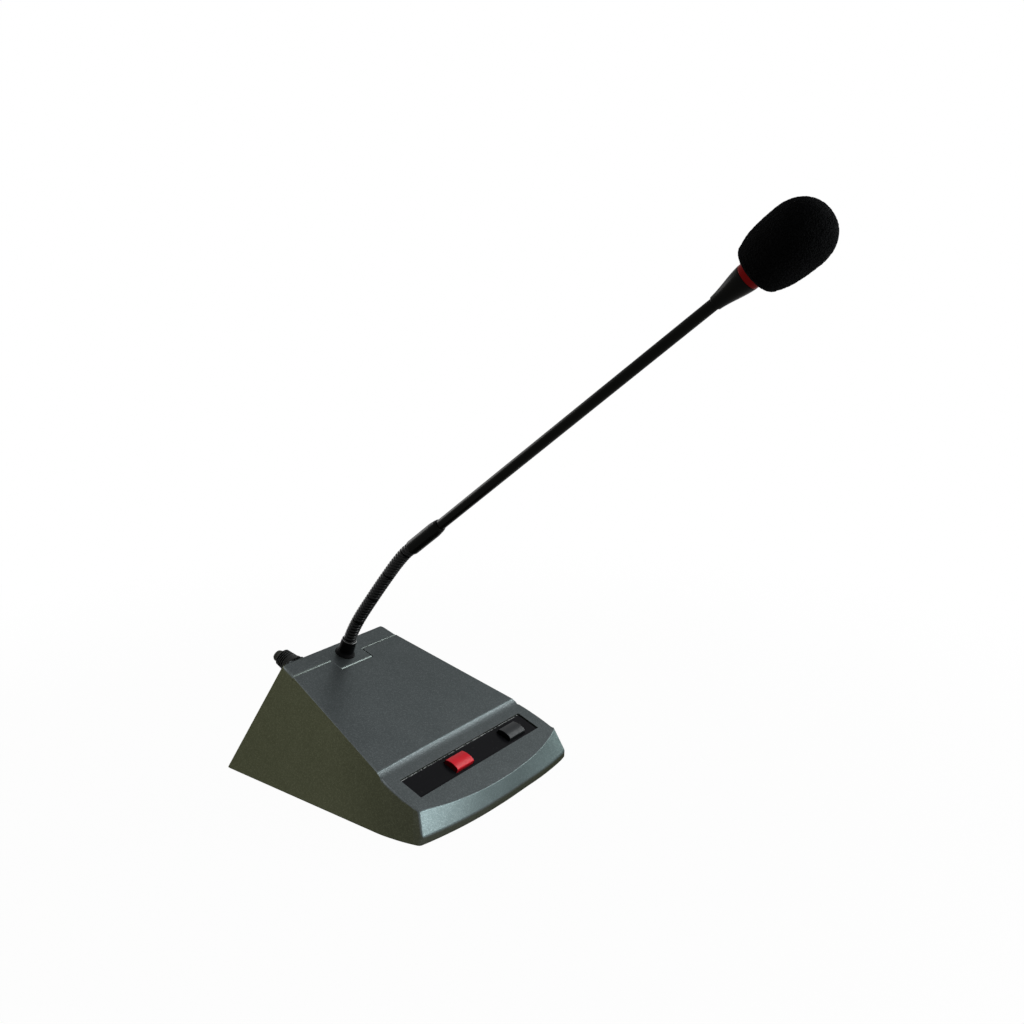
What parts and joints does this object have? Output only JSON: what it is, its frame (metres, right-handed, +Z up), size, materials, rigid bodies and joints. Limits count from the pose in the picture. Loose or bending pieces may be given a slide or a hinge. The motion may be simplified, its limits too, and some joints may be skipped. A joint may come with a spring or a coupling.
{
  "type": "gooseneck conference microphone",
  "caption": "Desk microphone with a wedge-shaped base, push buttons on a black control strip, a ribbed bendable neck, a straight stem and a foam-covered head with a light ring.",
  "frame": {"origin": "middle of the underside of the rubber pad, on the table, half way along the base", "axes": "+Z up from the table; the front of the base, with the buttons, faces -Y and the cable gland faces +Y; +X is the right side seen from the front"},
  "size_m": [0.137, 0.3439, 0.3136],
  "materials": {
    "pad_rubber": "matte moulded",
    "plate_steel": "black powder coat",
    "cover_paint": "satin metallic slate paint on a moulded shell",
    "bare_steel": "zinc plated",
    "board_green": "green board laminate",
    "standoff_brass": "turned",
    "inlay_black": "glossy black film",
    "red_cap": "satin red moulding",
    "grey_cap": "satin dark grey moulding",
    "switch_black": "moulded",
    "collar_black": "gloss black",
    "neck_black": "satin black coating",
    "stem_black": "satin black coating",
    "cone_black": "satin black moulding",
    "ring_red": "translucent red light guide",
    "basket_metal": "dark anodised",
    "holder_rubber": "soft moulded",
    "capsule_metal": "plain can",
    "foam_black": "open-cell foam",
    "gland_black": "moulded strain relief"
  },
  "bodies": {
    "base": {"base_pad": "pad_rubber", "bottom_plate": "plate_steel", "main_cover": "cover_paint", "rear_cover": "cover_paint", "cover_screws": "bare_steel", "ballast_weight": "bare_steel", "ballast_screws": "bare_steel", "circuit_board": "board_green", "board_standoffs": "standoff_brass", "board_screws": "bare_steel", "control_inlay": "inlay_black", "red_switch": "switch_black", "grey_switch": "switch_black", "switch_board": "board_green", "switch_board_screws": "bare_steel", "neck_collar": "collar_black", "neck_washer": "bare_steel", "neck_nut": "bare_steel", "cable_gland": "gland_black", "gland_clip": "bare_steel"},
    "red_key": {"red_button": "red_cap"},
    "grey_key": {"grey_button": "grey_cap"},
    "link_1": {"neck_link_1": "neck_black"},
    "link_2": {"neck_link_2": "neck_black"},
    "link_3": {"neck_link_3": "neck_black"},
    "link_4": {"neck_link_4": "neck_black"},
    "link_5": {"neck_link_5": "neck_black"},
    "link_6": {"neck_link_6": "neck_black"},
    "link_7": {"neck_link_7": "neck_black"},
    "link_8": {"neck_link_8": "neck_black"},
    "head": {"coupling_sleeve": "stem_black", "stem_tube": "stem_black", "head_cone": "cone_black", "light_ring": "ring_red", "ring_board": "board_green", "capsule_basket": "basket_metal", "capsule_holder": "holder_rubber", "mic_capsule": "capsule_metal"},
    "windscreen": {"foam_windscreen": "foam_black"}
  },
  "joints": [
    {"name": "neck_1", "type": "hinge", "parent": "base", "child": "link_1", "pos_m": [0, 0.02583, 0.07226], "axis": [1, 0, 0], "range_deg": [-12, 7]},
    {"name": "neck_2", "type": "hinge", "parent": "link_1", "child": "link_2", "pos_m": [0, 0.02157, 0.08087], "axis": [0, 0.8706, 0.492], "range_deg": [-12, 12]},
    {"name": "neck_3", "type": "hinge", "parent": "link_2", "child": "link_3", "pos_m": [0, 0.0164, 0.08895], "axis": [1, 0, 0], "range_deg": [-12, 7]},
    {"name": "neck_4", "type": "hinge", "parent": "link_3", "child": "link_4", "pos_m": [0, 0.01059, 0.0966], "axis": [0, 0.789, 0.6145], "range_deg": [-12, 12]},
    {"name": "neck_5", "type": "hinge", "parent": "link_4", "child": "link_5", "pos_m": [0, 0.0046, 0.1041], "axis": [1, 0, 0], "range_deg": [-12, 7]},
    {"name": "neck_6", "type": "hinge", "parent": "link_5", "child": "link_6", "pos_m": [0, -0.00147, 0.11154], "axis": [0, 0.7702, 0.6378], "range_deg": [-12, 12]},
    {"name": "neck_7", "type": "hinge", "parent": "link_6", "child": "link_7", "pos_m": [0, -0.00764, 0.11889], "axis": [1, 0, 0], "range_deg": [-12, 7]},
    {"name": "neck_8", "type": "hinge", "parent": "link_7", "child": "link_8", "pos_m": [0, -0.01397, 0.12611], "axis": [0, 0.7272, 0.6864], "range_deg": [-12, 12]},
    {"name": "neck_9", "type": "hinge", "parent": "link_8", "child": "head", "pos_m": [0, -0.02081, 0.13284], "axis": [1, 0, 0], "range_deg": [-12, 7]},
    {"name": "windscreen_pull", "type": "slide", "parent": "head", "child": "windscreen", "axis": [0, -0.8039, 0.5948], "range_m": [0, 0.06]},
    {"name": "red_press", "type": "slide", "parent": "base", "child": "red_key", "axis": [0, 0.421, -0.9071], "range_m": [0, 0.002], "stiffness_N_per_m": 400, "springref_m": -0.0005},
    {"name": "grey_press", "type": "slide", "parent": "base", "child": "grey_key", "axis": [0, 0.421, -0.9071], "range_m": [0, 0.002], "stiffness_N_per_m": 400, "springref_m": -0.0005}
  ]
}
